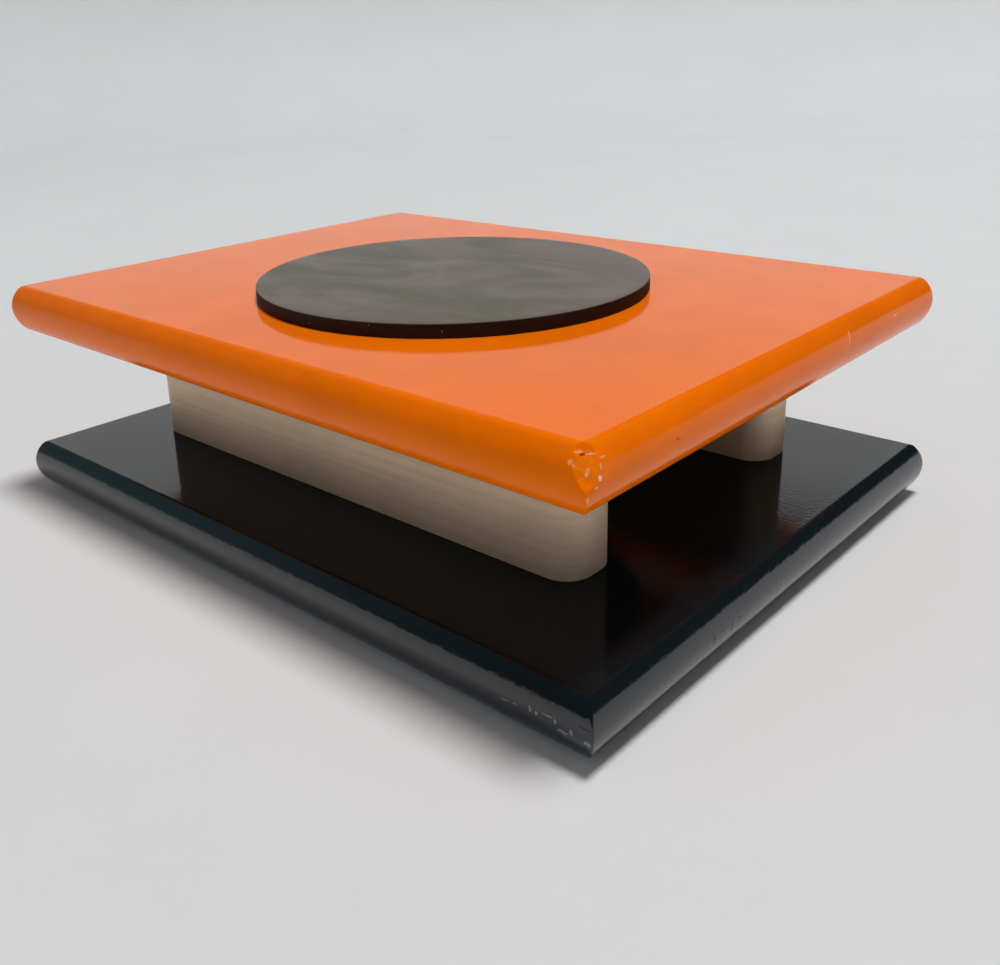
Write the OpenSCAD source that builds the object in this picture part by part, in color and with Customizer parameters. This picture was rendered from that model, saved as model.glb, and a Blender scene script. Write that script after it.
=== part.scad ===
// Magnetic desk sculpture base: two lacquered boards held apart by two aluminium bars,
// with a dark playing disc on top and magnets sunk in the upper board beneath it.
// The origin is the centre of the footprint, on the surface the pads rest on.
// +X runs along the bars, +Z is up.

/* [Boards] */
// Length of each board, along the bars
board_length = 280; // [260:1:320]
// Depth of each board, across the bars
board_depth = 216; // [200:1:260]
// Thickness of each board
board_thickness = 18; // [16:0.5:22]
// How far the round nose stands out past the flat of a board
nose_depth = 6.5; // [4:0.5:8]
// How far the lower board lies out of line with the upper one, lengthwise
board_stagger_x = 4; // [0:0.5:5]
// How far the upper board lies out of line with the lower one, across the bars
board_stagger_y = 2.5; // [0:0.5:5]

/* [Spacer bars] */
// Length of each bar
bar_length = 212; // [200:1:220]
// Width of each bar
bar_width = 24; // [22:1:26]
// Height of each bar, which is the gap between the boards
bar_height = 46; // [42:1:60]
// Radius of the upright corners of a bar
bar_corner = 9.5; // [4:0.5:10.5]
// Distance between the centre lines of the two bars
bar_pitch = 116; // [112:1:120]
// How far the pair of bars is set off the middle, lengthwise
bars_shift_x = -2; // [-5:0.5:5]
// How far the pair of bars is set off the middle, crosswise
bars_shift_y = 3.5; // [-5:0.5:5]

/* [Playing disc] */
// Diameter of the disc that the steel pieces stand on
disc_diameter = 145; // [140:1:160]
// Thickness of the disc
disc_thickness = 4.75; // [3:0.25:6]
// Bevel round both rims of the disc
disc_bevel = 0.35; // [0.2:0.05:0.6]
// How far the disc lies off the middle of the upper board, lengthwise
disc_shift_x = 4; // [-5:0.5:5]
// How far the disc lies off the middle of the upper board, across the bars
disc_shift_y = -5; // [-5:0.5:5]

/* [Magnets] */
// Diameter of one ferrite magnet
magnet_diameter = 35; // [30:1:36]
// Thickness of one ferrite magnet
magnet_thickness = 10; // [6:1:10]
// Thickness of the steel plate under the magnets
keeper_thickness = 1.5; // [1:0.5:2]
// Diameter of the pocket that the magnets lie in
pocket_diameter = 118; // [118:1:122]

/* [Screws] */
// Diameter of the screw shank
screw_diameter = 6; // [5:0.5:6]
// Length of a screw under its head
screw_length = 72; // [70:1:76]
// Distance between the two screws in one bar
screw_pitch = 160; // [130:1:170]
// Length of a threaded insert in the upper board
insert_length = 12; // [10:0.5:13]
// Outer diameter of a threaded insert
insert_diameter = 9; // [8.5:0.5:10]

/* [Pads] */
// Diameter of a felt pad under the lower board
pad_diameter = 20; // [16:1:24]
// Thickness of a felt pad
pad_thickness = 2; // [1.5:0.5:4]
// Distance from the edge of the lower board's flat to a pad's middle
pad_inset = 18; // [14:1:24]

/* [Hidden] */
$fn = 96;
slack = 0.1;            // gap round each hidden piece in its hole
screw_gap = 0.3;        // gap round a screw in its clearance hole
head_sink = 0.4;        // how deep a screw head lies below the board's face
socket_size = 4;        // across the flats of the hexagon in a screw head
socket_depth = 2.5;
magnet_gap = 0.5;       // air between a magnet and the disc
cut = 1;                // how far a cutting shape runs past a face

// Radius of the arc that rises nose_depth over a chord as long as the board is thick.
nose_radius = (pow(nose_depth, 2) + pow(board_thickness / 2, 2)) / (2 * nose_depth);
base_z = pad_thickness;
bars_z = base_z + board_thickness;
top_z = bars_z + bar_height;
disc_z = top_z + board_thickness;
base_place = [board_stagger_x / 2, -board_stagger_y / 2];
top_place = [-board_stagger_x / 2, board_stagger_y / 2];
disc_place = top_place + [disc_shift_x, disc_shift_y];
bars_place = [bars_shift_x, bars_shift_y];

pocket_depth = keeper_thickness + magnet_thickness + magnet_gap;
magnet_ring = (pocket_diameter - magnet_diameter) / 2 - 1.5;
magnet_count = 6;

screw_radius = screw_diameter / 2;
head_radius = screw_diameter;
head_height = head_radius - screw_radius;
seat_radius = head_radius + head_sink + slack + cut;
insert_depth = insert_length + 1;
pad_x = board_length / 2 - nose_depth - pad_inset;
pad_y = board_depth / 2 - nose_depth - pad_inset;

// ---- Shapes that repeat ----

// Outline of a board cut across: flat faces, with a round nose at either end.
module nosed_section(span) {
    flat = span - 2 * nose_depth;
    square([flat, board_thickness], center = true);
    intersection() {
        square([span, board_thickness], center = true);
        for (side = [-1, 1])
            translate([side * (span / 2 - nose_radius), 0])
                circle(r = nose_radius);
    }
}

// A board standing on z = 0. The two nosed lengths cross, so the noses meet in mitres.
module nosed_board() {
    translate([0, 0, board_thickness / 2])
        intersection() {
            rotate([90, 0, 0])
                linear_extrude(height = board_depth + cut, center = true)
                    nosed_section(board_length);
            rotate([90, 0, 90])
                linear_extrude(height = board_length + cut, center = true)
                    nosed_section(board_depth);
        }
}

// An upright hole or pin at a place on the plan, from one height to another.
module post(place, low, high, radius) {
    translate([place[0], place[1], low])
        cylinder(h = high - low, r = radius);
}

// Middle of the bar in a row, and places of its two screws: side and row are -1 or 1.
function bar_place(row) = bars_place + [0, row * bar_pitch / 2];
function screw_place(side, row) = bar_place(row) + [side * screw_pitch / 2, 0];

module screw_holes(low, high, radius) {
    for (side = [-1, 1], row = [-1, 1])
        post(screw_place(side, row), low, high, radius);
}

// A 90 degree cone that narrows upwards, for a screw's head or its seat.
module head_cone(place, face_z, mouth_radius, tip_radius) {
    translate([place[0], place[1], face_z])
        cylinder(h = mouth_radius - tip_radius, r1 = mouth_radius, r2 = tip_radius);
}

// Outline of a bar seen from above: a rectangle with four round corners.
module bar_outline() {
    flat_length = bar_length - 2 * bar_corner;
    flat_width = bar_width - 2 * bar_corner;
    square([flat_length, bar_width], center = true);
    square([bar_length, flat_width], center = true);
    for (side = [-1, 1], edge = [-1, 1])
        translate([side * flat_length / 2, edge * flat_width / 2])
            circle(r = bar_corner);
}

module bar(row) {
    place = bar_place(row);
    color("darkkhaki")
        difference() {
            translate([place[0], place[1], bars_z])
                linear_extrude(height = bar_height)
                    bar_outline();
            for (side = [-1, 1])
                post(screw_place(side, row), bars_z - cut, top_z + cut, screw_radius + screw_gap);
        }
}

module screw(side, row) {
    place = screw_place(side, row);
    face_z = base_z + head_sink;
    color("silver")
        difference() {
            union() {
                head_cone(place, face_z, head_radius, screw_radius);
                post(place, face_z + head_height, face_z + screw_length, screw_radius);
            }
            translate([place[0], place[1], face_z - cut])
                cylinder(h = socket_depth + cut, d = socket_size / cos(30), $fn = 6);
        }
}

module insert(side, row) {
    place = screw_place(side, row);
    color("goldenrod")
        difference() {
            post(place, top_z + slack, top_z + insert_length, insert_diameter / 2);
            post(place, top_z - cut, top_z + insert_length + cut, screw_radius + slack / 2);
        }
}

module magnet(place) {
    color("dimgray")
        translate([top_place[0] + place[0], top_place[1] + place[1], disc_z - pocket_depth + keeper_thickness])
            cylinder(h = magnet_thickness, d = magnet_diameter);
}

module ring_magnet(number) {
    angle = number * 360 / magnet_count;
    magnet([magnet_ring * cos(angle), magnet_ring * sin(angle)]);
}

module pad(side, row) {
    color("darkslategray")
        post([base_place[0] + side * pad_x, base_place[1] + row * pad_y], 0, pad_thickness, pad_diameter / 2);
}

// ---- Pieces ----

module base_board() {
    color([0.04, 0.06, 0.07])
        difference() {
            translate([base_place[0], base_place[1], base_z])
                nosed_board();
            screw_holes(base_z - cut, bars_z + cut, screw_radius + screw_gap);
            for (side = [-1, 1], row = [-1, 1])
                head_cone(screw_place(side, row), base_z - cut, seat_radius, screw_radius + screw_gap);
        }
}

module top_board() {
    color([0.93, 0.4, 0.08])
        difference() {
            translate([top_place[0], top_place[1], top_z])
                nosed_board();
            post(top_place, disc_z - pocket_depth, disc_z + cut, pocket_diameter / 2);
            screw_holes(top_z - cut, top_z + insert_depth, insert_diameter / 2 + slack / 2);
        }
}

module front_bar() {
    bar(-1);
}

module rear_bar() {
    bar(1);
}

// A turned disc, bevelled round both rims.
module playing_disc() {
    radius = disc_diameter / 2;
    color([0.36, 0.33, 0.3])
        translate([disc_place[0], disc_place[1], disc_z])
            rotate_extrude()
                polygon([
                    [0, 0],
                    [radius - disc_bevel, 0],
                    [radius, disc_bevel],
                    [radius, disc_thickness - disc_bevel],
                    [radius - disc_bevel, disc_thickness],
                    [0, disc_thickness]
                ]);
}

module keeper_plate() {
    color("slategray")
        post(top_place, disc_z - pocket_depth, disc_z - pocket_depth + keeper_thickness, pocket_diameter / 2 - 1);
}

base_board();
top_board();
front_bar();
rear_bar();
playing_disc();
keeper_plate();
magnet([0, 0]);  // magnet_centre
ring_magnet(1);  // magnet_1
ring_magnet(2);  // magnet_2
ring_magnet(3);  // magnet_3
ring_magnet(4);  // magnet_4
ring_magnet(5);  // magnet_5
ring_magnet(6);  // magnet_6
screw(-1, -1);  // screw_front_left
screw(1, -1);  // screw_front_right
screw(-1, 1);  // screw_rear_left
screw(1, 1);  // screw_rear_right
insert(-1, -1);  // insert_front_left
insert(1, -1);  // insert_front_right
insert(-1, 1);  // insert_rear_left
insert(1, 1);  // insert_rear_right
pad(-1, -1);  // pad_front_left
pad(1, -1);  // pad_front_right
pad(-1, 1);  // pad_rear_left
pad(1, 1);  // pad_rear_right
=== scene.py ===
"""Magnetic desk sculpture base: lacquered boards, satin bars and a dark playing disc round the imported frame."""
import math

import bmesh
import bpy
import numpy as np
from bpy.props import FloatProperty, FloatVectorProperty, PointerProperty
from bpy.types import Operator, Panel, PropertyGroup
from mathutils import Matrix, Vector


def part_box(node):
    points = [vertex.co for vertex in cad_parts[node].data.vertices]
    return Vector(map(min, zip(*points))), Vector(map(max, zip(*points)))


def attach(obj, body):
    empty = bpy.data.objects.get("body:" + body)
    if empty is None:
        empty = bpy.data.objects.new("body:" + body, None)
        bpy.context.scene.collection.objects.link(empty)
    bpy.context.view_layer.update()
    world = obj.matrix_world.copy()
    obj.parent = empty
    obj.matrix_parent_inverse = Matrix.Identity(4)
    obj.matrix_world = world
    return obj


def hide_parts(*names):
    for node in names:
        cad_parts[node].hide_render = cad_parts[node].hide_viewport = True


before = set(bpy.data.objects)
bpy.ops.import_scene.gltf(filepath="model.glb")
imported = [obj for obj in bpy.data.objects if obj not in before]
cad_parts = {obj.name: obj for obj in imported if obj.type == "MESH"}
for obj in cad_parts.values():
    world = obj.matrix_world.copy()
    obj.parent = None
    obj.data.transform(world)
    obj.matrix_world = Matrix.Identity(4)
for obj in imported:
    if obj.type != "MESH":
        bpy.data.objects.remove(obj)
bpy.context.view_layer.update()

bl_info = {
    "name": "Magnetic Desk Sculpture",
    "version": (1, 0, 0),
    "blender": (4, 5, 0),
    "location": "3D View > Sidebar > Desk Sculpture",
    "description": "Builds two round-nosed lacquered boards, their bars, a playing disc and a small studio",
    "category": "Add Mesh",
}

MM = 0.001
BODY = "root"
TAU = 2 * math.pi
CORNERS = ("front_left", "front_right", "rear_left", "rear_right")
SCREW_HOLE = 3.3 * MM        # radius of the clearance hole for a screw
SCREW_MOUTH = 6.5 * MM       # radius of a countersink where it meets the board's face
PLATE_GAP = MM               # gap round the keeper plate in its pocket
PAD_BULGE = 0.35 * MM        # how far the weight on a pad swells its side
BRUSH_HEIGHT = 0.045         # height of the brush ridges, in mm
GRAIN = 1400.0               # fineness of the ragged rims of chips
# Painted reflection: these place and scale the glow and the dim room that the paper shows in reflections.
WALL_WAY = (-0.678, 0.735, 0)   # from the object towards the stretch of paper wall behind it
WALL_EDGE = (0.74, 0.86)     # cosines from that way between which it fades out in reflections
WALL_TOP = (1.05, 1.25)      # heights between which it fades out
WALL_GLOW = 0.13             # how much brighter it counts in reflections
FRONT_WAY = (-0.35, -0.93, 0)   # where the light from the sky is strongest
FRONT_GAIN = 5.0             # how many times stronger it is there


# ---------------------------------------------------------------- settings

def length(label, text, default, low, high):
    """A size property in metres."""
    return FloatProperty(name=label, description=text, default=default, min=low, max=high,
                         subtype="DISTANCE", unit="LENGTH")


def colour(label, text, default):
    """A linear colour property."""
    return FloatVectorProperty(name=label, description=text, default=default, min=0, max=1, size=3, subtype="COLOR")


def factor(label, text, default):
    """A number from 0 to 1."""
    return FloatProperty(name=label, description=text, default=default, min=0, max=1, subtype="FACTOR")


def angle(label, text, degrees):
    """A turn, given in degrees."""
    return FloatProperty(name=label, description=text, default=math.radians(degrees), subtype="ANGLE",
                         unit="ROTATION")


def position(label, text, default):
    """A point in metres."""
    return FloatVectorProperty(name=label, description=text, default=default, size=3, subtype="XYZ", unit="LENGTH")


class BoardSettings(PropertyGroup):
    """Sizes and finish of the two lacquered boards."""
    nose_depth: length("Nose depth", "How far the round nose stands out past the flat", 4.8 * MM, 4 * MM, 9 * MM)
    nose_corner: length("Nose corner", "Radius that rounds the nose into the faces", 2.6 * MM, MM, 4 * MM)
    mitre_round: length("Mitre rounding", "Radius left on the mitred corners", 0.4 * MM, 0.1 * MM, 2 * MM)
    orange: colour("Orange lacquer", "Colour of the upper board", (1.0, 0.182, 0.001))
    black: colour("Black lacquer", "Colour of the lower board", (0.006, 0.0115, 0.0145))
    gloss: factor("Roughness", "Roughness of the lacquer", 0.09)


class BarSettings(PropertyGroup):
    """Sizes and finish of the spacer bars."""
    corner: length("Upright corner", "Radius of a bar's upright corners", 9.5 * MM, 3 * MM, 11 * MM)
    chamfer: length("Broken edge", "Width of the broken edge at the ends of a bar's height", 0.3 * MM, 0.1 * MM, MM)
    metal: colour("Aluminium", "Colour of the sanded aluminium", (1.0, 0.78, 0.555))
    roughness: factor("Roughness", "Roughness of the sanded faces", 0.55)


class DiscSettings(PropertyGroup):
    """Sizes and finish of the playing disc."""
    rim: length("Rim rounding", "Radius on both rims of the disc", 0.35 * MM, 0.1 * MM, MM)
    face: colour("Face", "Colour of the rubbed face", (0.118, 0.095, 0.068))
    edge: colour("Edge", "Colour of the sawn edge", (0.012, 0.0055, 0.0045))
    roughness: factor("Roughness", "Roughness of the rubbed face", 0.38)


class FittingSettings(PropertyGroup):
    """Colours of the small pieces underneath and inside."""
    felt: colour("Felt", "Colour of the pads", (0.02, 0.022, 0.024))
    steel: colour("Steel", "Colour of screws and keeper plate", (0.55, 0.55, 0.56))
    brass: colour("Brass", "Colour of the threaded inserts", (0.75, 0.52, 0.22))
    ferrite: colour("Ferrite", "Colour of the magnets", (0.035, 0.034, 0.036))


class StudioSettings(PropertyGroup):
    """Camera, floor and light."""
    target: position("Target", "Point that the camera looks past", (-3.65 * MM, 6.73 * MM, 42 * MM))
    distance: length("Distance", "From the camera to the target", 416.9 * MM, 0.1, 5)
    azimuth: angle("Azimuth", "Camera's turn from the front towards the right", 42.734)
    elevation: angle("Elevation", "Camera's angle above the floor", 18.349)
    roll: angle("Roll", "Camera's lean", -1.751)
    lens: FloatProperty(name="Lens", description="Focal length in millimetres", default=37.77, min=10, max=200)
    shift: FloatVectorProperty(name="Shift", description="Lens shift right and up", size=2, default=(0.0358, -0.1008))
    floor: colour("Floor", "Colour of the paper floor", (0.80, 0.805, 0.81))
    sky: colour("Overhead light", "Faint light from above, stronger in front", (0.06, 0.062, 0.064))
    room: colour("Room", "Dim room that shines in polished faces", (0.012, 0.018, 0.022))
    window: colour("Window", "Cool light from the left that shines in polished faces", (0.11, 0.18, 0.22))
    key: FloatProperty(name="Key power", description="Power of the overhead softbox", default=141.0, min=0,
                       unit="POWER")
    key_size: length("Key size", "Width of the overhead softbox", 1.15, 0.2, 4)
    key_place: position("Key place", "Where the overhead softbox hangs", (0.48, 0.60, 4.4))


# ---------------------------------------------------------------- mesh helpers

def graded_half(span, fine, growth, coarse):
    """Distances from a corner to the middle of a side: steps start at fine, grow by a ratio and stop at coarse."""
    steps = np.minimum(fine * growth ** np.arange(400), coarse)
    distance = np.cumsum(steps)
    return np.append(distance[distance < span / 2 - steps[: distance.size] * 0.5], span / 2)


def side_fractions(span, start_grade, end_grade):
    """Places between two corners as fractions of the side, graded from both ends, with its middle among them."""
    start = graded_half(span, *start_grade) / span
    end = 1 - graded_half(span, *end_grade)[::-1] / span
    return np.concatenate([start, end[1:]])


class Outline:
    """A rectangle with round corners, walked anticlockwise from its front left corner."""

    def __init__(self, half, grades, arc_steps):
        """half is the half size. grades gives each corner's grading, anticlockwise from the front left."""
        self.half = np.array(half)
        self.arc_steps = arc_steps
        spans = 2 * np.array([half[0], half[1], half[0], half[1]])
        self.sides = [side_fractions(spans[i], grades[i], grades[(i + 1) % 4]) for i in range(4)]
        corner_points = arc_steps + 1
        self.middles = []
        count = 0
        for fractions in self.sides:
            count += corner_points
            self.middles.append(count + int(np.argmin(abs(fractions - 0.5))))
            count += fractions.size
        self.count = count

    def loop(self, inset, radius):
        """The outline moved inwards by inset: arcs of the radius about the four corner centres, joined by sides."""
        half = self.half - inset
        centre = half - radius
        signs = np.array([(-1, -1), (1, -1), (1, 1), (-1, 1)])
        parts = []
        for i, fractions in enumerate(self.sides):
            angle = np.radians(180 + 90 * i) + np.linspace(0, math.pi / 2, self.arc_steps + 1)
            arc = signs[i] * centre + radius * np.column_stack([np.cos(angle), np.sin(angle)])
            after = np.radians(270 + 90 * i)
            start = arc[-1]
            end = signs[(i + 1) % 4] * centre + radius * np.array([math.cos(after), math.sin(after)])
            parts += [arc, start + np.outer(fractions, end - start)]
        return np.concatenate(parts)


class Sheet:
    """Vertices and faces gathered block by block, then joined where blocks meet."""

    def __init__(self):
        self.points = []
        self.faces = []
        self.count = 0

    def band(self, rows):
        """Quads between closed loops of the same length: rows is an array of loops by points by 3."""
        loops, size = rows.shape[:2]
        index = self.count + np.arange(loops * size).reshape(loops, size)
        ahead = np.roll(index, -1, axis=1)
        quads = np.stack([index[:-1], ahead[:-1], ahead[1:], index[1:]], axis=-1)
        self.points.append(rows.reshape(-1, 3))
        self.faces += quads.reshape(-1, 4).tolist()
        self.count += loops * size

    def lid(self, loop):
        """One face over a closed loop."""
        self.points.append(loop)
        self.faces.append(list(range(self.count, self.count + len(loop))))
        self.count += len(loop)

    def move(self, offset):
        """Shifts every point gathered so far."""
        self.points = [block + offset for block in self.points]

    def build(self, name, smooth_angle):
        """Makes the object: doubles joined, faces turned outwards, shaded smooth up to an angle."""
        mesh = bpy.data.meshes.new(name)
        mesh.from_pydata(np.concatenate(self.points).tolist(), [], self.faces)
        work = bmesh.new()
        work.from_mesh(mesh)
        bmesh.ops.remove_doubles(work, verts=work.verts, dist=1e-7)
        bmesh.ops.dissolve_degenerate(work, edges=work.edges, dist=1e-8)
        bmesh.ops.recalc_face_normals(work, faces=work.faces)
        for edge in work.edges:
            edge.smooth = len(edge.link_faces) == 2 and edge.calc_face_angle() < smooth_angle
        for face in work.faces:
            face.smooth = True
        work.to_mesh(mesh)
        work.free()
        piece = bpy.data.objects.new(name, mesh)
        bpy.context.scene.collection.objects.link(piece)
        return piece


def at_height(loop, z):
    """A flat loop of points lifted to a height."""
    return np.column_stack([loop, np.broadcast_to(z, (len(loop),))])


def split_cells(outline, loop, columns, rows):
    """The areas of a face, each a closed loop round one hole.

    One area is the whole loop, two are its halves, four its quarters, cut between the middles of opposite sides.
    """
    if columns * rows == 1:
        return [loop]
    front, right, back, left = outline.middles
    steps = np.linspace(0, 1, 9)[1:-1, None]
    centre = (loop[front] + loop[back]) / 2

    def between(a, b):
        """The loop's points from a to b, on past its end where b comes first."""
        return loop[np.arange(a, b + 1 if b >= a else b + 1 + outline.count) % outline.count]

    def spoke(i):
        """Points from the loop to the centre."""
        return loop[i] + steps * (centre - loop[i])

    def quarter(a, b):
        return np.concatenate([between(a, b), spoke(b), centre[None], spoke(a)[::-1]])

    if rows == 1:
        cut = loop[front] + steps * (loop[back] - loop[front])
        return [np.concatenate([between(back, front), cut]), np.concatenate([between(front, back), cut[::-1]])]
    return [quarter(left, front), quarter(front, right), quarter(back, left), quarter(right, back)]


def hole_loop(cell, centre, radius):
    """Points of a round hole, one for each point of the area round it and in the same direction from its centre."""
    angle = np.arctan2(cell[:, 1] - centre[1], cell[:, 0] - centre[0])
    return centre + radius * np.column_stack([np.cos(angle), np.sin(angle)])


def add_slab(sheet, outline, section, corner_radius, grid, holes, shape=lambda points: points):
    """A slab with round holes from face to face, closed where every hole has steps in both faces.

    section lists (inset, z) from the upper face, over the rim, to the lower face. corner_radius gives each loop's
    corner radius from its inset. grid is the columns and rows of holes. holes gives, for each area, its centre and
    the (radius, z) steps of its wall from each face inwards, and blind names the face whose wall ends in a lid. An
    empty list of steps leaves that face open inside the rim, as the upper board's lower face is.
    shape moves the rim's points, for dents.
    """
    loops = [at_height(outline.loop(inset, corner_radius(inset)), z) for inset, z in section]
    rows = np.stack(loops)
    rows = shape(rows.reshape(-1, 3)).reshape(rows.shape)
    sheet.band(rows)
    upper_cells = split_cells(outline, rows[0][:, :2], *grid)
    lower_cells = split_cells(outline, rows[-1][:, :2], *grid)
    top_z, bottom_z = section[0][1], section[-1][1]
    for upper, lower, hole in zip(upper_cells, lower_cells, holes):
        for cell, z, wall in ((upper, top_z, hole["upper"]), (lower, bottom_z, hole["lower"])):
            if not wall:
                continue
            steps = [at_height(hole_loop(cell, hole["centre"], radius), height) for radius, height in wall]
            sheet.band(np.stack([at_height(cell, z)] + steps))
            if hole.get("blind") == ("upper" if z == top_z else "lower"):
                sheet.lid(steps[-1])


def turned(profile, centre, steps):
    """A turned solid: the (radius, z) profile carried round an upright axis, its poles closed to a point."""
    around = np.linspace(0, TAU, steps, endpoint=False)
    radius, height = np.array(profile).T[:, :, None]
    sheet = Sheet()
    sheet.band(np.stack([centre[0] + radius * np.cos(around), centre[1] + radius * np.sin(around),
                         np.broadcast_to(height, (len(profile), steps))], axis=-1))
    return sheet


def arc(centre, radius, start, end, steps):
    """Points of an arc in the (radius, z) plane, angles in degrees from the outward direction."""
    angle = np.radians(np.linspace(start, end, steps))
    return list(zip(centre[0] + radius * np.cos(angle), centre[1] + radius * np.sin(angle)))


def place(piece, material, slot, *nodes):
    """Gives a finished piece its material and body, and hides the nodes that it stands for. The slot is not used."""
    piece.data.materials.append(material)
    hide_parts(*nodes)
    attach(piece, BODY)


# ---------------------------------------------------------------- node helpers

class Nodes:
    """Short ways to add nodes and links to one node tree."""

    def __init__(self, tree):
        self.tree = tree

    def add(self, kind, **values):
        """A node with its properties set. A value whose name starts with in_ goes to that input instead."""
        node = self.tree.nodes.new(kind)
        for name, value in values.items():
            if name.startswith("in_"):
                self.feed(node.inputs[name[3:].replace("_", " ")], value)
            else:
                setattr(node, name, value)
        return node

    def feed(self, socket, value):
        """Links an output socket to an input, or sets the input's own value."""
        if isinstance(value, bpy.types.NodeSocket):
            self.tree.links.new(value, socket)
        elif hasattr(socket.default_value, "__len__") and not hasattr(value, "__len__"):
            socket.default_value = [value] * len(socket.default_value)
        elif socket.type == "RGBA" and len(value) == 3:
            socket.default_value = (*value, 1)
        else:
            socket.default_value = value

    def math(self, operation, *values):
        """The result of a Math node."""
        node = self.add("ShaderNodeMath", operation=operation)
        for socket, value in zip(node.inputs, values):
            self.feed(socket, value)
        return node.outputs[0]

    def times(self, first, second):
        """Two values multiplied."""
        return self.math("MULTIPLY", first, second)

    def vector(self, operation, *values):
        """The result of a Vector Math node."""
        node = self.add("ShaderNodeVectorMath", operation=operation)
        for socket, value in zip(node.inputs, values):
            self.feed(socket, value)
        return node.outputs["Value"] if operation in {"LENGTH", "DOT_PRODUCT"} else node.outputs[0]

    def scaled(self, colour, amount):
        """A colour made lighter or darker."""
        return self.add("ShaderNodeVectorMath", operation="SCALE", in_Vector=colour, in_Scale=amount).outputs[0]

    def ramp(self, value, low, high, start=0.0, end=1.0, smooth=True):
        """value carried from low..high to start..end, clamped."""
        kind = "SMOOTHSTEP" if smooth else "LINEAR"
        node = self.add("ShaderNodeMapRange", interpolation_type=kind)
        for socket, entry in zip(node.inputs, (value, low, high, start, end)):
            self.feed(socket, entry)
        return node.outputs[0]

    def mix(self, amount, first, second):
        """Colours mixed by an amount."""
        node = self.add("ShaderNodeMix", data_type="RGBA")
        self.feed(node.inputs[0], amount)
        self.feed(node.inputs[6], first)
        self.feed(node.inputs[7], second)
        return node.outputs[2]

    def noise(self, vector, scale, detail=2.0, rough=0.5, distortion=0.0):
        """A cloudy value from about 0.2 to 0.8."""
        node = self.add("ShaderNodeTexNoise", in_Vector=vector, in_Scale=scale, in_Detail=detail,
                        in_Roughness=rough, in_Distortion=distortion)
        return node.outputs["Fac"]

    def stretched(self, vector, scale):
        """Coordinates scaled along each axis."""
        return self.add("ShaderNodeMapping", in_Vector=vector, in_Scale=scale).outputs[0]

    def group(self, tree, **values):
        """A node that holds a shared group, with its inputs set."""
        node = self.add("ShaderNodeGroup", node_tree=tree)
        for name, value in values.items():
            self.feed(node.inputs[name.replace("_", " ")], value)
        return node


def new_group(name, inputs, outputs):
    """A node group with named sockets. inputs are (name, kind, default), outputs are (name, kind)."""
    tree = bpy.data.node_groups.new(name, "ShaderNodeTree")
    for label, kind, default in inputs:
        socket = tree.interface.new_socket(label, in_out="INPUT", socket_type="NodeSocket" + kind)
        if default is not None:
            socket.default_value = default
    for label, kind in outputs:
        tree.interface.new_socket(label, in_out="OUTPUT", socket_type="NodeSocket" + kind)
    nodes = Nodes(tree)
    return nodes, nodes.add("NodeGroupInput").outputs, nodes.add("NodeGroupOutput").inputs


def fleck_group():
    """Scattered small flecks, such as dust or pinholes: cells of a size, of which a share holds one round fleck."""
    nodes, source, result = new_group("Scattered Flecks", [
        ("Point", "Vector", None), ("Cell", "Float", 300.0), ("Share", "Float", 0.1), ("Size", "Float", 0.15)],
        [("Mask", "Float")])
    cells = nodes.add("ShaderNodeTexVoronoi", in_Vector=source["Point"], in_Scale=source["Cell"])
    chance = nodes.add("ShaderNodeSeparateColor", in_Color=cells.outputs["Color"])
    chosen = nodes.math("LESS_THAN", chance.outputs[0], source["Share"])
    size = nodes.times(source["Size"], nodes.ramp(chance.outputs[1], 0.0, 1.0, 0.35, 1.0, False))
    dot = nodes.ramp(nodes.math("DIVIDE", cells.outputs["Distance"], size), 0.6, 1.0, 1.0, 0.0)
    nodes.feed(result["Mask"], nodes.times(dot, chosen))
    return nodes.tree


def spot_group():
    """One ragged spot: an ellipsoid about a centre, its rim broken by a grain value from 0 to 1."""
    nodes, source, result = new_group("Ragged Spot", [
        ("Point", "Vector", None), ("Centre", "Vector", None), ("Radii", "Vector", (1, 1, 1)),
        ("Ragged", "Float", 0.4), ("Grain", "Float", 0.5)], [("Mask", "Float")])
    away = nodes.vector("DIVIDE", nodes.vector("SUBTRACT", source["Point"], source["Centre"]), source["Radii"])
    broken = nodes.times(nodes.math("SUBTRACT", source["Grain"], 0.5), source["Ragged"])
    distance = nodes.math("ADD", nodes.vector("LENGTH", away), nodes.times(broken, 3.2))
    nodes.feed(result["Mask"], nodes.ramp(distance, 0.8, 1.0, 1.0, 0.0))
    return nodes.tree


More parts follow.
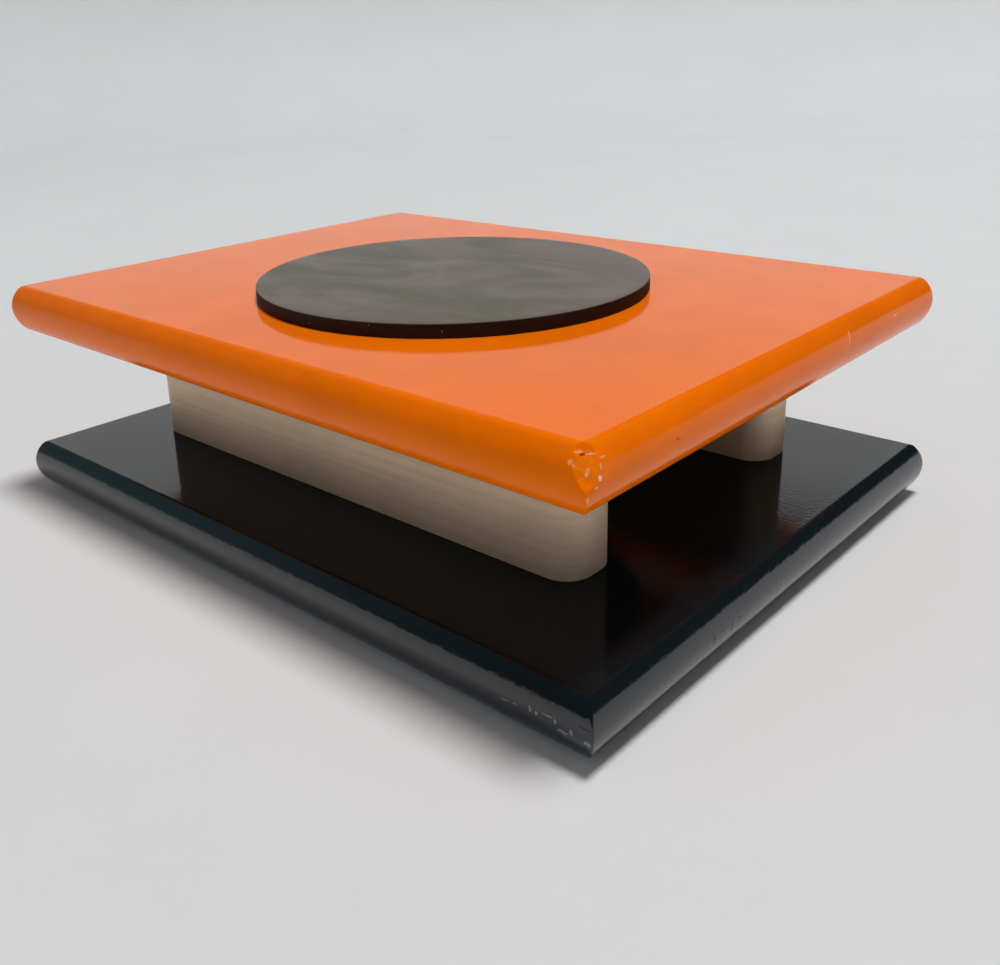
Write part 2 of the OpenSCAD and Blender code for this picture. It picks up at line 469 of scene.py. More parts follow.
def brushwork_group():
    """Brushed lacquer that has flowed out: low ridges that follow the nearer edge of the board, and fine peel.

    Centre and Half are the board's middle and half size in plan. The strokes change direction at the mitres.
    """
    nodes, source, result = new_group("Brushed Lacquer", [
        ("Point", "Vector", None), ("Centre", "Vector", None), ("Half", "Vector", None),
        ("Ridges", "Float", 1.0), ("Peel", "Float", 1.0)],
        [("Height", "Float"), ("Tone", "Float"), ("Rim", "Float")])
    away = nodes.vector("ABSOLUTE", nodes.vector("SUBTRACT", source["Point"], source["Centre"]))
    past = nodes.add("ShaderNodeSeparateXYZ", in_Vector=nodes.vector("SUBTRACT", away, source["Half"])).outputs
    turned_stroke = nodes.math("GREATER_THAN", past[0], past[1])
    along = nodes.noise(nodes.stretched(source["Point"], (150, 520, 520)), 1.0, 3, 0.55, 0.4)
    across = nodes.noise(nodes.stretched(source["Point"], (520, 150, 520)), 1.0, 3, 0.55, 0.4)
    stroke = nodes.mix(turned_stroke, along, across)
    rim = nodes.ramp(nodes.math("MAXIMUM", past[0], past[1]), -9 * MM, -2 * MM)
    nodes.feed(result["Rim"], rim)
    peel = nodes.noise(source["Point"], 650.0, 2, 0.5)
    pool = nodes.noise(source["Point"], 70.0, 2, 0.5)
    strength = nodes.times(source["Ridges"], nodes.ramp(rim, 0.0, 1.0, 0.32, 1.0))
    height = nodes.math("ADD", nodes.times(stroke, strength),
                        nodes.times(peel, nodes.times(source["Peel"],
                                                                nodes.ramp(rim, 0.0, 1.0, 0.35, 1.0))))
    nodes.feed(result["Height"], nodes.math("ADD", height, nodes.times(pool, 0.5)))
    nodes.feed(result["Tone"], nodes.noise(source["Point"], 28.0, 4, 0.6))
    return nodes.tree


def sanding_group():
    """Sanding lines that run level round a bar: fine streaks long in plan and thin in height."""
    nodes, source, result = new_group("Sanding Lines", [
        ("Point", "Vector", None), ("Fineness", "Float", 1.0)], [("Height", "Float"), ("Tone", "Float")])
    fine = nodes.noise(nodes.stretched(source["Point"], (25, 25, 5200)), source["Fineness"], 3, 0.6)
    coarse = nodes.noise(nodes.stretched(source["Point"], (9, 9, 900)), source["Fineness"], 2, 0.5, 0.3)
    nodes.feed(result["Height"], nodes.math("ADD", fine, nodes.times(coarse, 0.8)))
    nodes.feed(result["Tone"], nodes.times(nodes.math("ADD", fine, coarse), 0.5))
    return nodes.tree


GROUPS = {}


def shared(maker):
    """The node group that a maker builds, built on first use."""
    if maker not in GROUPS:
        GROUPS[maker] = maker()
    return GROUPS[maker]


def new_material(name, **values):
    """A material with a Principled shader whose uniform values are set on its own sockets.

    Gives the material, its nodes, the shader's inputs and the point's own place in the frame, in metres.
    """
    material = bpy.data.materials.new(name)
    material.use_nodes = True
    tree = material.node_tree
    tree.nodes.clear()
    nodes = Nodes(tree)
    shader = nodes.add("ShaderNodeBsdfPrincipled")
    output = nodes.add("ShaderNodeOutputMaterial")
    tree.links.new(shader.outputs[0], output.inputs[0])
    for label, value in values.items():
        nodes.feed(shader.inputs[label.replace("_", " ")], value)
    return material, nodes, shader.inputs, nodes.add("ShaderNodeTexCoord").outputs["Object"]


def bump(nodes, height, distance):
    """A Bump node's normal from a height."""
    return nodes.add("ShaderNodeBump", in_Height=height, in_Distance=distance).outputs[0]


# ---------------------------------------------------------------- materials

def wear_and_light_spots(nodes, point, grain, spots):
    """The union of several ragged spots. spots are (centre in mm, radii in mm, raggedness)."""
    total = None
    for centre, radii, ragged in spots:
        mask = nodes.group(shared(spot_group), Point=point, Centre=[c * MM for c in centre],
                           Radii=[r * MM for r in radii], Ragged=ragged, Grain=grain).outputs[0]
        total = mask if total is None else nodes.math("MAXIMUM", total, mask)
    return total


def lacquer(name, node, base, roughness, ior, tint, reflection_shade, marks, dust):
    """Gloss lacquer over wood: brushwork, slight pooling of colour, dust, chips, scratches and small dents.

    marks are kinds of damage and of painted light: each adds its colour and its depth at its places. The reflection
    shade is painted shade: how much darker the colour counts where another polished face reflects it.
    """
    material, nodes, shader, point = new_material(name, IOR=ior, Specular_Tint=(*tint, 1))
    low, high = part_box(node)
    centre = [(low[0] + high[0]) / 2, (low[1] + high[1]) / 2, (low[2] + high[2]) / 2]
    half = [(high[0] - low[0]) / 2, (high[1] - low[1]) / 2, 1.0]
    brushwork = nodes.group(shared(brushwork_group), Point=point, Centre=centre, Half=half, Ridges=0.9,
                            Peel=1.3).outputs
    tone = nodes.ramp(brushwork["Tone"], 0.25, 0.75, 0.94, 1.04)
    # Painted shade: the colour is darkened in reflections only.
    mirrored = nodes.times(nodes.add("ShaderNodeLightPath").outputs["Is Glossy Ray"], reflection_shade)
    skin = nodes.scaled(base, nodes.times(tone, nodes.math("SUBTRACT", 1.0, mirrored)))
    flecks = nodes.group(shared(fleck_group), Point=point, Cell=dust["cell"], Share=dust["share"], Size=dust["size"])
    skin = nodes.mix(nodes.times(flecks.outputs[0], dust["weight"]), skin, dust["colour"])
    height = nodes.times(brushwork["Height"], BRUSH_HEIGHT)
    rough = roughness
    grain = nodes.noise(point, GRAIN, 3, 0.65)
    for mark in marks:
        mask = wear_and_light_spots(nodes, point, grain, mark["places"])
        skin = nodes.mix(nodes.times(mask, mark["cover"]), skin, mark["colour"])
        rough = nodes.ramp(mask, 0.0, 1.0, rough, mark["roughness"], False)
        cut = nodes.times(mask, nodes.times(nodes.math("ADD", grain, 0.3), mark["depth"]))
        height = nodes.math("SUBTRACT", height, cut)
    nodes.feed(shader["Base Color"], skin)
    nodes.feed(shader["Roughness"], rough)
    nodes.feed(shader["Normal"], bump(nodes, height, MM))
    return material


def sanded_aluminium(settings):
    """Satin aluminium, sanded level round each bar, with darker rubbed patches, and painted shade that makes it much
    darker where another polished face reflects it.
    """
    material, nodes, shader, point = new_material("Sanded Aluminium", Metallic=0.6, IOR=1.4)
    sanding = nodes.group(shared(sanding_group), Point=point).outputs
    cloud = nodes.noise(point, 22.0, 4, 0.6)
    dull, bright, worn, shade_in_reflections = ([c * k for c in settings.metal] for k in (0.9, 1.06, 0.78, 0.3))
    metal = nodes.mix(nodes.ramp(cloud, 0.3, 0.7), dull, bright)
    metal = nodes.mix(nodes.ramp(sanding["Tone"], 0.35, 0.65, 0.0, 0.5), metal, worn)
    # Painted shade: the bars count at 0.3 of their colour where another polished face reflects them.
    mirrored = nodes.add("ShaderNodeLightPath").outputs["Is Glossy Ray"]
    metal = nodes.mix(mirrored, metal, shade_in_reflections)
    nodes.feed(shader["Base Color"], metal)
    rough = nodes.math("ADD", settings.roughness, nodes.ramp(sanding["Tone"], 0.3, 0.7, -0.05, 0.07))
    nodes.feed(shader["Roughness"], rough)
    nodes.feed(shader["Normal"], bump(nodes, sanding["Height"], 0.035 * MM))
    return material


def rubbed_disc(settings):
    """Dull dark sheet: cloudy smears on the face, a darker sawn edge with a few pale nicks."""
    material, nodes, shader, point = new_material("Rubbed Dark Disc", IOR=1.5)
    normal_z = nodes.add("ShaderNodeSeparateXYZ", in_Vector=nodes.add("ShaderNodeNewGeometry").outputs["True Normal"])
    is_face = nodes.ramp(normal_z.outputs[2], 0.5, 0.9)
    smear = nodes.noise(nodes.stretched(point, (14, 26, 1)), 1.0, 5, 0.62, 1.4)
    swirl = nodes.noise(nodes.stretched(point, (34, 18, 1)), 1.0, 4, 0.6, 2.0)
    green = [c * k for c, k in zip(settings.face, (1.02, 1.16, 1.02))]
    plum = [c * k for c, k in zip(settings.face, (1.0, 0.84, 0.9))]
    face = nodes.mix(nodes.ramp(smear, 0.38, 0.64), plum, green)
    face = nodes.mix(nodes.ramp(swirl, 0.5, 0.72, 0.0, 0.35), face, [c * 1.5 for c in settings.face])
    scuffs = nodes.noise(nodes.stretched(point, (700, 90, 1)), 1.0, 2, 0.5)
    face = nodes.mix(nodes.ramp(scuffs, 0.66, 0.78, 0.0, 0.25), face, [c * 1.8 for c in settings.face])
    edge_grain = nodes.noise(nodes.stretched(point, (300, 300, 1600)), 1.0, 3, 0.6)
    edge = nodes.mix(nodes.ramp(edge_grain, 0.35, 0.75), settings.edge, [c * 2.2 for c in settings.edge])
    squashed = nodes.stretched(point, (1, 1, 0.6))
    nicks = nodes.group(shared(fleck_group), Point=squashed, Cell=700.0, Share=0.025, Size=0.3)
    edge = nodes.mix(nodes.times(nicks.outputs[0], 0.8), edge, (0.32, 0.27, 0.23))
    nodes.feed(shader["Base Color"], nodes.mix(is_face, edge, face))
    rough = nodes.math("ADD", settings.roughness, nodes.ramp(smear, 0.35, 0.7, -0.07, 0.1))
    nodes.feed(shader["Roughness"], nodes.math("MAXIMUM", rough, nodes.ramp(is_face, 0.0, 1.0, 0.5, 0.0)))
    height = nodes.math("ADD", nodes.noise(point, 900.0, 3, 0.6), nodes.times(edge_grain, 0.8))
    nodes.feed(shader["Normal"], bump(nodes, height, 0.03 * MM))
    return material


def pressed_felt(base):
    """Pressed wool felt: short matted fibres with a faint fuzz."""
    material, nodes, shader, point = new_material("Pressed Felt", Roughness=0.95, Sheen_Weight=0.3,
                                                  Sheen_Roughness=0.5)
    fibres = nodes.noise(nodes.stretched(point, (1400, 2200, 2600)), 1.0, 4, 0.7, 1.5)
    nodes.feed(shader["Base Color"], nodes.mix(nodes.ramp(fibres, 0.3, 0.7), base, [c * 2.6 for c in base]))
    nodes.feed(shader["Normal"], bump(nodes, fibres, 0.15 * MM))
    return material


def turned_metal(name, base, roughness):
    """Plain metal with turning marks and faint staining."""
    material, nodes, shader, point = new_material(name, Metallic=1.0)
    marks = nodes.noise(nodes.stretched(point, (500, 500, 3000)), 1.0, 2, 0.5)
    stain = nodes.noise(point, 160.0, 3, 0.6)
    nodes.feed(shader["Base Color"], nodes.mix(nodes.ramp(stain, 0.35, 0.7), base, [c * 0.75 for c in base]))
    nodes.feed(shader["Roughness"], nodes.ramp(marks, 0.3, 0.7, roughness - 0.06, roughness + 0.1))
    nodes.feed(shader["Normal"], bump(nodes, marks, 0.01 * MM))
    return material


def ground_ferrite(base):
    """Ground ceramic magnet: fine pits and grinding scratches."""
    material, nodes, shader, point = new_material("Ground Ferrite", Roughness=0.55, IOR=1.9)
    pits = nodes.group(shared(fleck_group), Point=point, Cell=900.0, Share=0.3, Size=0.3).outputs[0]
    grind = nodes.noise(nodes.stretched(point, (1500, 60, 60)), 1.0, 3, 0.6)
    nodes.feed(shader["Base Color"], nodes.mix(nodes.ramp(grind, 0.3, 0.7), base, [c * 1.8 for c in base]))
    height = nodes.math("SUBTRACT", nodes.times(grind, 0.3), pits)
    nodes.feed(shader["Normal"], bump(nodes, height, 0.06 * MM))
    return material


# ---------------------------------------------------------------- boards

# Damage to the two boards, and painted light on the upper board's crushed corner and right nose. Each place is a
# centre in mm, three radii in mm and how ragged its rim is.
UPPER_MARKS = (
    # Painted light: this lighter orange stands in for the crushed facet facing up into the light; its gloss and
    # slight cut are the crush itself.
    {"colour": (1.0, 0.24, 0.01), "cover": 0.5, "roughness": 0.12, "depth": 0.01, "places": (
        ((135.6, -103.9, 78.4), (3.0, 3.0, 3.6), 0.35),)},
    # Painted highlights: pale pink glints along the rims of the crushed corner and on the right nose.
    {"colour": (1.0, 0.47, 0.22), "cover": 0.75, "roughness": 0.16, "depth": 0.02, "places": (
        ((132.3, -105.7, 79.9), (0.6, 0.5, 1.2), 0.5),
        ((133.0, -105.5, 79.0), (0.4, 0.5, 0.9), 0.7),
        ((133.3, -103.6, 82.0), (2.2, 0.9, 0.3), 0.5),
        ((135.3, -101.9, 81.5), (2.0, 1.4, 0.25), 0.5),
        ((136.8, -99.6, 80.4), (0.5, 1.2, 0.22), 0.8),
        ((136.0, -104.2, 77.4), (0.35, 0.8, 2.4), 0.5),
        ((137.4, -101.0, 78.6), (0.5, 0.4, 0.8), 0.9),
        ((137.6, -106.2, 71.9), (0.5, 0.5, 1.1), 0.6),
        ((135.7, -73.4, 81.4), (0.5, 1.1, 0.3), 1.0),
        ((136.4, -55.4, 80.4), (0.5, 0.7, 0.3), 1.0))},
    {"colour": (0.95, 0.78, 0.58), "cover": 0.95, "roughness": 0.5, "depth": 0.05, "places": (
        ((137.9, -101.8, 76.1), (0.6, 0.7, 0.75), 0.7),
        ((138.0, -103.2, 74.2), (0.6, 0.5, 0.3), 0.8),
        ((136.7, 35.3, 76.8), (3.0, 0.2, 4.4), 0.6),
        ((137.8, 73.0, 77.1), (0.6, 1.8, 0.25), 1.0))},
    {"colour": (0.16, 0.035, 0.010), "cover": 0.8, "roughness": 0.5, "depth": 0.1, "places": (
        ((133.9, -103.3, 81.4), (0.8, 0.7, 0.3), 0.9),
        ((137.9, -68.4, 75.4), (0.5, 0.9, 0.22), 1.0),
        ((137.1, -59.8, 71.9), (0.6, 1.6, 0.18), 1.0),
        ((137.1, -52.8, 71.4), (0.6, 1.0, 0.18), 1.0))},
)
LOWER_MARKS = (
    {"colour": (0.26, 0.30, 0.36), "cover": 0.7, "roughness": 0.45, "depth": 0.05, "places": (
        ((114.3, -109.2, 10.2), (1.2, 0.8, 0.18), 1.2),
        ((117.7, -109.2, 10.6), (0.8, 0.8, 0.25), 1.2),
        ((122.6, -109.2, 11.2), (0.4, 0.8, 0.9), 1.2),
        ((124.6, -109.2, 11.0), (0.35, 0.8, 0.8), 1.2),
        ((128.3, -109.1, 11.8), (1.5, 0.8, 0.25), 1.2),
        ((130.5, -109.2, 11.3), (0.4, 0.8, 0.9), 1.2),
        ((133.0, -109.1, 9.2), (1.5, 0.8, 0.45), 1.3),
        ((135.4, -109.1, 10.4), (0.5, 0.8, 0.8), 1.3),
        ((140.3, -109.2, 9.4), (1.0, 0.9, 0.7), 1.4))},
    {"colour": (0.42, 0.40, 0.38), "cover": 0.6, "roughness": 0.4, "depth": 0.03, "places": (
        ((137.5, -104.7, 19.3), (0.4, 0.4, 0.3), 0.9),
        ((138.3, -105.6, 18.8), (0.35, 0.35, 0.3), 0.9),
        ((139.2, -106.5, 18.0), (0.3, 0.3, 0.4), 0.9),
        ((140.0, -107.3, 16.9), (0.25, 0.25, 0.5), 0.9),
        ((129.1, -104.2, 19.7), (0.25, 0.25, 0.25), 0.5),
        ((130.8, -105.1, 19.1), (0.25, 0.25, 0.25), 0.5),
        ((138.2, -99.4, 18.8), (0.2, 0.3, 0.2), 0.5))},
    {"colour": (0.004, 0.003, 0.003), "cover": 0.9, "roughness": 0.5, "depth": 0.22, "places": (
        ((139.6, -108.9, 13.2), (2.2, 0.9, 0.2), 0.9),
        ((142.0, -51.5, 11.4), (0.6, 0.5, 1.6), 1.0),
        ((142.0, -46.5, 11.6), (0.6, 1.9, 0.3), 1.0),
        ((141.9, -41.5, 11.0), (0.6, 0.4, 1.5), 1.0),
        ((141.8, -36.5, 11.4), (0.6, 1.3, 0.3), 1.0))},
)

# The knock on the near corner. FOLDS holds each set of folds' height, wavelength and seed.
KNOCK_OUT, KNOCK_UP = -2.43 * MM, -7.6 * MM     # a point on the facet, outwards and up from the corner of the face
KNOCK_FACING = (0.872, 0.49)                    # the facet's normal, outwards and up
KNOCK_REACH = 16 * MM                           # how far round that point the rim is pressed
KNOCK_ROUNDING = 0.12 * MM                      # softness of the facet's rim
FOLDS = ((0.20 * MM, 4.6 * MM, 4), (0.11 * MM, 1.7 * MM, 9))

COARSE = (1.2 * MM, 1.25, 7 * MM)      # grading of a plain corner: first step, growth, largest step
FINE = (0.28 * MM, 1.06, 5 * MM)       # grading of the corner that took the knocks


def node_middle(node):
    """The middle of a node's box in plan, and its lowest and highest z."""
    low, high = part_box(node)
    return np.array([(low[0] + high[0]) / 2, (low[1] + high[1]) / 2]), low[2], high[2]


def half_size(node):
    """Half the width and half the depth of a node's box in plan."""
    low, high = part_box(node)
    return (high[0] - low[0]) / 2, (high[1] - low[1]) / 2


def nose_section(depth, corner, thickness, middle_z):
    """A board's rim from the upper face to the lower: one large arc between two small ones, all tangent.

    With half thickness h, small radius r and depth d, the large radius is (d^2 + (h-r)^2 - r^2) / (2 (d - r)).
    """
    half = thickness / 2
    shoulder = half - corner
    large = (depth ** 2 + shoulder ** 2 - corner ** 2) / (2 * (depth - corner))
    turn = math.atan2(shoulder, large - depth)
    small_angle = np.linspace(math.pi / 2, turn, 12)
    large_angle = np.linspace(turn, -turn, 56)
    upper = np.column_stack([corner * np.cos(small_angle), shoulder + corner * np.sin(small_angle)])
    main = np.column_stack([depth - large + large * np.cos(large_angle), large * np.sin(large_angle)])[1:-1]
    lower = upper[::-1] * (1, -1)
    flats = np.array([(-14, half), (-8, half), (-4, half), (-2, half), (-1, half), (-0.4, half)])
    flats[:, 0] *= MM
    points = np.concatenate([flats, upper, main, lower, flats[::-1] * (1, -1)])
    return [(depth - x, middle_z + z) for x, z in points]


def ripple(points, wavelength, seed):
    """Smooth deterministic noise from -1 to 1: sines along eight directions drawn from a seed, with random phase."""
    draw = np.random.default_rng(seed)
    directions = draw.normal(size=(8, 3))
    directions /= np.linalg.norm(directions, axis=1)[:, None]
    stretch = draw.uniform(0.6, 1.7, 8)
    phase = draw.uniform(0, TAU, 8)
    return np.sin(points @ (directions * stretch[:, None]).T * TAU / wavelength + phase).sum(axis=1) / 4


def soft_plane_cut(points, anchor, normal, rounding, crumple):
    """Points beyond a plane are pressed back to it: depth s becomes s - softplus(s), and crumple lifts the floor."""
    beyond = (points - anchor) @ normal - crumple
    pressed = rounding * np.logaddexp(0, beyond / rounding)
    return points - pressed[:, None] * normal


def crushed_corner(corner, top):
    """The near corner of the upper board: a knock that pressed the mitre into a crumpled facet."""
    outward = np.array([1, -1, 0]) / math.sqrt(2)

    def shape(points):
        anchor = corner + outward * KNOCK_OUT + np.array([0, 0, top + KNOCK_UP])
        normal = outward * KNOCK_FACING[0] + np.array([0, 0, KNOCK_FACING[1]])
        crumple = sum(height * ripple(points, wavelength, seed) for height, wavelength, seed in FOLDS)
        near = np.linalg.norm(points - anchor, axis=1) < KNOCK_REACH
        moved = points.copy()
        moved[near] = soft_plane_cut(points[near], anchor, normal, KNOCK_ROUNDING, crumple[near])
        return moved
    return shape


def make_board(node, name, settings, holes, grid, shape):
    """A round-nosed board in place of a CAD board."""
    centre, low, high = node_middle(node)
    outline = Outline(half_size(node), [COARSE, FINE, COARSE, COARSE], 4)
    section = nose_section(settings.nose_depth, settings.nose_corner, high - low, (low + high) / 2)
    offset = np.array([*centre, 0])
    sheet = Sheet()
    local_holes = [dict(hole, centre=np.array(hole["centre"]) - centre) for hole in holes]
    add_slab(sheet, outline, section, lambda inset: settings.mitre_round, grid, local_holes,
             lambda points: shape(points + offset) - offset)
    sheet.move(offset)
    return sheet.build(name, math.radians(50))


def screw_places():
    """Middles of the four screws in plan."""
    return [node_middle("screw_" + corner)[0] for corner in CORNERS]


class DESK_OT_lower_board(Operator):
    """Builds the black lacquered board, with a countersunk hole for each screw."""
    bl_idname = "desk.lower_board"
    bl_label = "Lower Board"

    def execute(self, context):
        settings = context.scene.desk_boards
        _, low, high = node_middle("base_board")
        screw_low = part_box("screw_front_left")[0][2]
        cone_top = screw_low + SCREW_MOUTH - SCREW_HOLE
        upper = [(SCREW_HOLE, high), (SCREW_HOLE, cone_top)]
        lower = [(SCREW_MOUTH, low), (SCREW_MOUTH, screw_low), (SCREW_HOLE, cone_top)]
        holes = [{"centre": centre, "upper": upper, "lower": lower} for centre in screw_places()]
        piece = make_board("base_board", "Black_Board", settings, holes, (2, 2), lambda points: points)
        material = lacquer("Black Lacquer", "base_board", settings.black, settings.gloss, 1.62, (1, 1, 1), 0.0,
                           LOWER_MARKS, {"cell": 110.0, "share": 0.06, "size": 0.045, "weight": 0.5,
                                         "colour": (0.4, 0.42, 0.4)})
        place(piece, material, "black_lacquer", "base_board")
        return {"FINISHED"}


class DESK_OT_upper_board(Operator):
    """Builds the orange lacquered board, with the magnet pocket and the crushed near corner."""
    bl_idname = "desk.upper_board"
    bl_label = "Upper Board"

    def execute(self, context):
        settings = context.scene.desk_boards
        box_low, box_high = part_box("top_board")
        pocket_centre, pocket_floor, _ = node_middle("keeper_plate")
        pocket_radius = half_size("keeper_plate")[0] + PLATE_GAP
        pocket = {"centre": pocket_centre, "blind": "upper", "lower": [],
                  "upper": [(pocket_radius, box_high[2]), (pocket_radius, pocket_floor)]}
        corner = np.array([box_high[0], box_low[1], 0])
        shape = crushed_corner(corner, box_high[2])
        piece = make_board("top_board", "Orange_Board", settings, [pocket], (1, 1), shape)
        material = lacquer("Orange Lacquer", "top_board", settings.orange, settings.gloss, 1.27, (1, 0.5, 0.0), 0.55,
                           UPPER_MARKS, {"cell": 130.0, "share": 0.04, "size": 0.05, "weight": 0.35,
                                         "colour": (0.95, 0.6, 0.4)})
        place(piece, material, "orange_lacquer", "top_board")
        return {"FINISHED"}


class DESK_OT_bars(Operator):
    """Builds the two sanded aluminium bars with broken edges and through holes."""
    bl_idname = "desk.bars"
    bl_label = "Spacer Bars"

    def execute(self, context):
        settings = context.scene.desk_bars
        material = sanded_aluminium(settings)
        places = screw_places()
        chamfer = settings.chamfer
        grade = (1.0 * MM, 1.2, 8 * MM)
        for node, name, pair in (("front_bar", "Front_Bar", places[:2]), ("rear_bar", "Rear_Bar", places[2:])):
            centre, low, high = node_middle(node)
            outline = Outline(half_size(node), [grade] * 4, 20)
            section = [(chamfer, high), (chamfer * 0.3, high - chamfer * 0.3), (0, high - chamfer),
                       (0, (low + high) / 2), (0, low + chamfer), (chamfer * 0.3, low + chamfer * 0.3),
                       (chamfer, low)]
            holes = [{"centre": middle - centre, "upper": [(SCREW_HOLE, high), (SCREW_HOLE, low)],
                      "lower": [(SCREW_HOLE, low)]} for middle in pair]
            sheet = Sheet()
            add_slab(sheet, outline, section, lambda inset: settings.corner - inset, (2, 1), holes)
            sheet.move(np.array([*centre, 0]))
            place(sheet.build(name, math.radians(40)), material, "bar_aluminium", node)
        return {"FINISHED"}


class DESK_OT_disc(Operator):
    """Builds the playing disc, turned with a small radius on each rim."""
    bl_idname = "desk.disc"
    bl_label = "Playing Disc"

    def execute(self, context):
        settings = context.scene.desk_disc
        centre, low, high = node_middle("playing_disc")
        radius = half_size("playing_disc")[0]
        rim = settings.rim
        rings = [(radius * k, high) for k in (0, 0.3, 0.6, 0.85, 0.95)]
        profile = (rings + arc((radius - rim, high - rim), rim, 90, 0, 6) + [(radius, (low + high) / 2)]
                   + arc((radius - rim, low + rim), rim, 0, -90, 6) + [(radius * 0.5, low), (0, low)])
        piece = turned(profile, centre, 288).build("Playing_Disc", math.radians(45))
        place(piece, rubbed_disc(settings), "disc_dark", "playing_disc")
        return {"FINISHED"}


class DESK_OT_pads(Operator):
    """Builds the four felt pads, their sides bulged by the weight on them."""
    bl_idname = "desk.pads"
    bl_label = "Felt Pads"

    def execute(self, context):
        material = pressed_felt(context.scene.desk_fittings.felt)
        for corner in CORNERS:
            node = "pad_" + corner
            centre, low, high = node_middle(node)
            radius = half_size(node)[0]
            turn = np.radians(np.linspace(90, -90, 9))
            side = list(zip(radius - PAD_BULGE + PAD_BULGE * np.cos(turn),
                            (low + high) / 2 + (high - low) / 2 * np.sin(turn)))
            profile = [(0, high), (radius * 0.6, high)] + side + [(radius * 0.6, low), (0, low)]
            piece = turned(profile, centre, 64).build("Felt_Pad_" + corner.title(), math.radians(60))
            place(piece, material, "pad_felt", node)
        return {"FINISHED"}


class DESK_OT_fixings(Operator):
    """Gives the screws, threaded inserts, magnets and keeper plate their metals."""
    bl_idname = "desk.fixings"
    bl_label = "Screws and Magnets"

    def execute(self, context):
        settings = context.scene.desk_fittings
        finishes = {
            "screw": turned_metal("Zinc Plated Screw", settings.steel, 0.3),
            "keeper": turned_metal("Steel Sheet", [c * 0.8 for c in settings.steel], 0.45),
            "insert": turned_metal("Turned Brass", settings.brass, 0.28),
            "magnet": ground_ferrite(settings.ferrite),
        }
        for name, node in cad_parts.items():
            finish = finishes.get(name.split("_")[0])
            if finish:
                node.data.materials.clear()
                node.data.materials.append(finish)
        return {"FINISHED"}


# ---------------------------------------------------------------- studio

def room_colour(nodes, direction, settings):
    """What shines in polished faces beyond the paper: a dim room with a cool window on the left."""
    side = nodes.add("ShaderNodeSeparateXYZ", in_Vector=direction).outputs[0]
    return nodes.mix(nodes.ramp(side, -0.35, -0.9), settings.room, settings.window)


def paper_material(settings):
    """Pale paper with painted shade: its colour darkens as it rises towards the softbox.

    Painted reflection: in reflections the upright part shows, with a painted glow, only behind the object, and only
    low down. Elsewhere it shows a painted dim room.
    """
    material, nodes, shader, point = new_material("Studio Paper", Roughness=0.9, IOR=1.3)
    height = nodes.add("ShaderNodeSeparateXYZ", in_Vector=point).outputs[2]
    grain = nodes.ramp(nodes.noise(point, 6.0, 4, 0.6), 0.3, 0.7, 0.985, 1.01)
    plan = nodes.vector("NORMALIZE", nodes.vector("MULTIPLY", point, (1, 1, 0)))
    behind = nodes.ramp(nodes.vector("DOT_PRODUCT", plan, WALL_WAY), *WALL_EDGE)
    low = nodes.ramp(height, *WALL_TOP, 1.0, 0.0)
    upright = nodes.ramp(height, 0.0, 0.08)
    hidden = nodes.times(upright, nodes.math("SUBTRACT", 1.0, nodes.times(behind, low)))
    glossy = nodes.add("ShaderNodeLightPath").outputs["Is Glossy Ray"]
    # Painted reflection: for glossy rays the upright paper glows, and where hidden it shows a painted dim room.
    painted_room_mask = nodes.times(hidden, glossy)
    painted_wall_glow = nodes.scaled(settings.floor, nodes.times(nodes.times(upright, glossy), WALL_GLOW))
    # Painted shade: the paper's colour darkens from 0.96 to 0.80 of the floor colour over its first half metre of
    # height.
    pale = nodes.scaled(settings.floor, nodes.times(grain, nodes.ramp(height, 0.0, 0.5, 0.96, 0.80)))
    nodes.feed(shader["Base Color"], nodes.mix(painted_room_mask, pale, (0, 0, 0)))
    nodes.feed(shader["Emission Color"], nodes.mix(painted_room_mask, painted_wall_glow, room_colour(nodes, plan, settings)))
    nodes.feed(shader["Emission Strength"], 1.0)
    return material


def sweep_mesh(flat, curve, wall):
    """A round sweep of paper: a flat disc, a quarter-round cove and a wall, all turned about the upright axis."""
    angle = np.radians(np.linspace(-90, 0, 24))
    cove = np.column_stack([flat + curve * np.cos(angle), curve + curve * np.sin(angle)])
    profile = [(0, 0), (flat * 0.2, 0), (flat * 0.5, 0)] + [tuple(p) for p in cove] + [(flat + curve, wall)]
    return turned(profile, (0, 0), 128)


def aim(obj, position, target):
    """Places a light or camera and turns it to its target."""
    obj.location = position
    obj.rotation_euler = (Vector(target) - Vector(position)).to_track_quat("-Z", "Y").to_euler()


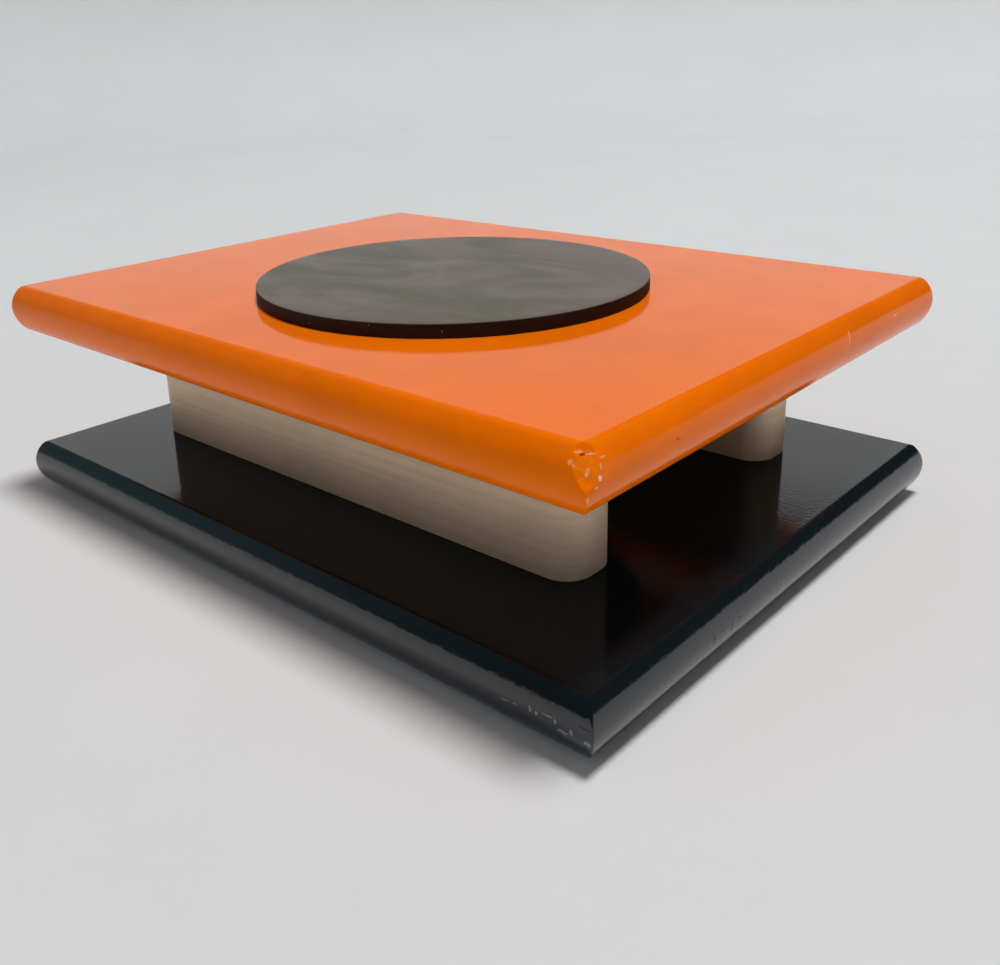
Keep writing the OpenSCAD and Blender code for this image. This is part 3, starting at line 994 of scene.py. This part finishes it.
class DESK_OT_studio(Operator):
    """Makes the paper floor, the softbox, the dim room and the camera."""
    bl_idname = "desk.studio"
    bl_label = "Studio"

    def execute(self, context):
        scene = context.scene
        settings = scene.desk_studio
        floor = sweep_mesh(flat=1.6, curve=0.8, wall=1.25).build("Studio_Paper", math.radians(80))
        floor.data.materials.append(paper_material(settings))
        floor.data.flip_normals()

        data = bpy.data.lights.new("Key_Softbox", "AREA")
        data.energy = settings.key
        data.shape = "DISK"
        data.size = settings.key_size
        light = bpy.data.objects.new("Key_Softbox", data)
        light.visible_glossy = False
        scene.collection.objects.link(light)
        aim(light, settings.key_place, (0, 0, 0))

        world = bpy.data.worlds.new("Room")
        world.use_nodes = True
        nodes = Nodes(world.node_tree)
        glossy = nodes.add("ShaderNodeLightPath").outputs["Is Glossy Ray"]
        direction = nodes.add("ShaderNodeTexCoord").outputs["Generated"]
        room = room_colour(nodes, direction, settings)
        ahead = nodes.vector("DOT_PRODUCT", direction, FRONT_WAY)
        sky = nodes.scaled(settings.sky, nodes.ramp(ahead, 0.1, 0.8, 1.0, FRONT_GAIN))
        nodes.feed(world.node_tree.nodes["Background"].inputs[0], nodes.mix(glossy, sky, room))
        scene.world = world
        scene.view_settings.view_transform = "Standard"

        data = bpy.data.cameras.new("Camera")
        data.sensor_width = 36
        data.lens = settings.lens
        data.shift_x, data.shift_y = settings.shift
        data.clip_start = 0.01
        camera = bpy.data.objects.new("Camera", data)
        scene.collection.objects.link(camera)
        scene.camera = camera
        a, e, r = settings.azimuth, settings.elevation, settings.roll
        back = Vector((math.sin(a) * math.cos(e), -math.cos(a) * math.cos(e), math.sin(e)))
        level = Vector((math.cos(a), math.sin(a), 0))
        upright = back.cross(level)
        right = level * math.cos(r) + upright * math.sin(r)
        up = upright * math.cos(r) - level * math.sin(r)
        turn = Matrix((right, up, back)).transposed()
        camera.matrix_world = Matrix.Translation(Vector(settings.target) + back * settings.distance) @ turn.to_4x4()
        return {"FINISHED"}


# ---------------------------------------------------------------- panel and registration

STEPS = (DESK_OT_studio, DESK_OT_lower_board, DESK_OT_upper_board, DESK_OT_bars, DESK_OT_disc, DESK_OT_pads,
         DESK_OT_fixings)
SETTINGS = {"desk_boards": BoardSettings, "desk_bars": BarSettings, "desk_disc": DiscSettings,
            "desk_fittings": FittingSettings, "desk_studio": StudioSettings}


class DESK_PT_panel(Panel):
    """Lists the steps that build the desk sculpture."""
    bl_label = "Desk Sculpture"
    bl_idname = "DESK_PT_panel"
    bl_space_type = "VIEW_3D"
    bl_region_type = "UI"
    bl_category = "Desk Sculpture"

    def draw(self, context):
        for step in STEPS:
            self.layout.operator(step.bl_idname)


def register():
    for cls in (*SETTINGS.values(), *STEPS, DESK_PT_panel):
        bpy.utils.register_class(cls)
    for name, cls in SETTINGS.items():
        setattr(bpy.types.Scene, name, PointerProperty(type=cls))


def unregister():
    for name in SETTINGS:
        delattr(bpy.types.Scene, name)
    for cls in reversed((*SETTINGS.values(), *STEPS, DESK_PT_panel)):
        bpy.utils.unregister_class(cls)


def main():
    register()
    for step in STEPS:
        category, name = step.bl_idname.split(".")
        getattr(getattr(bpy.ops, category), name)()
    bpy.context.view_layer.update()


if __name__ == "__main__":
    main()
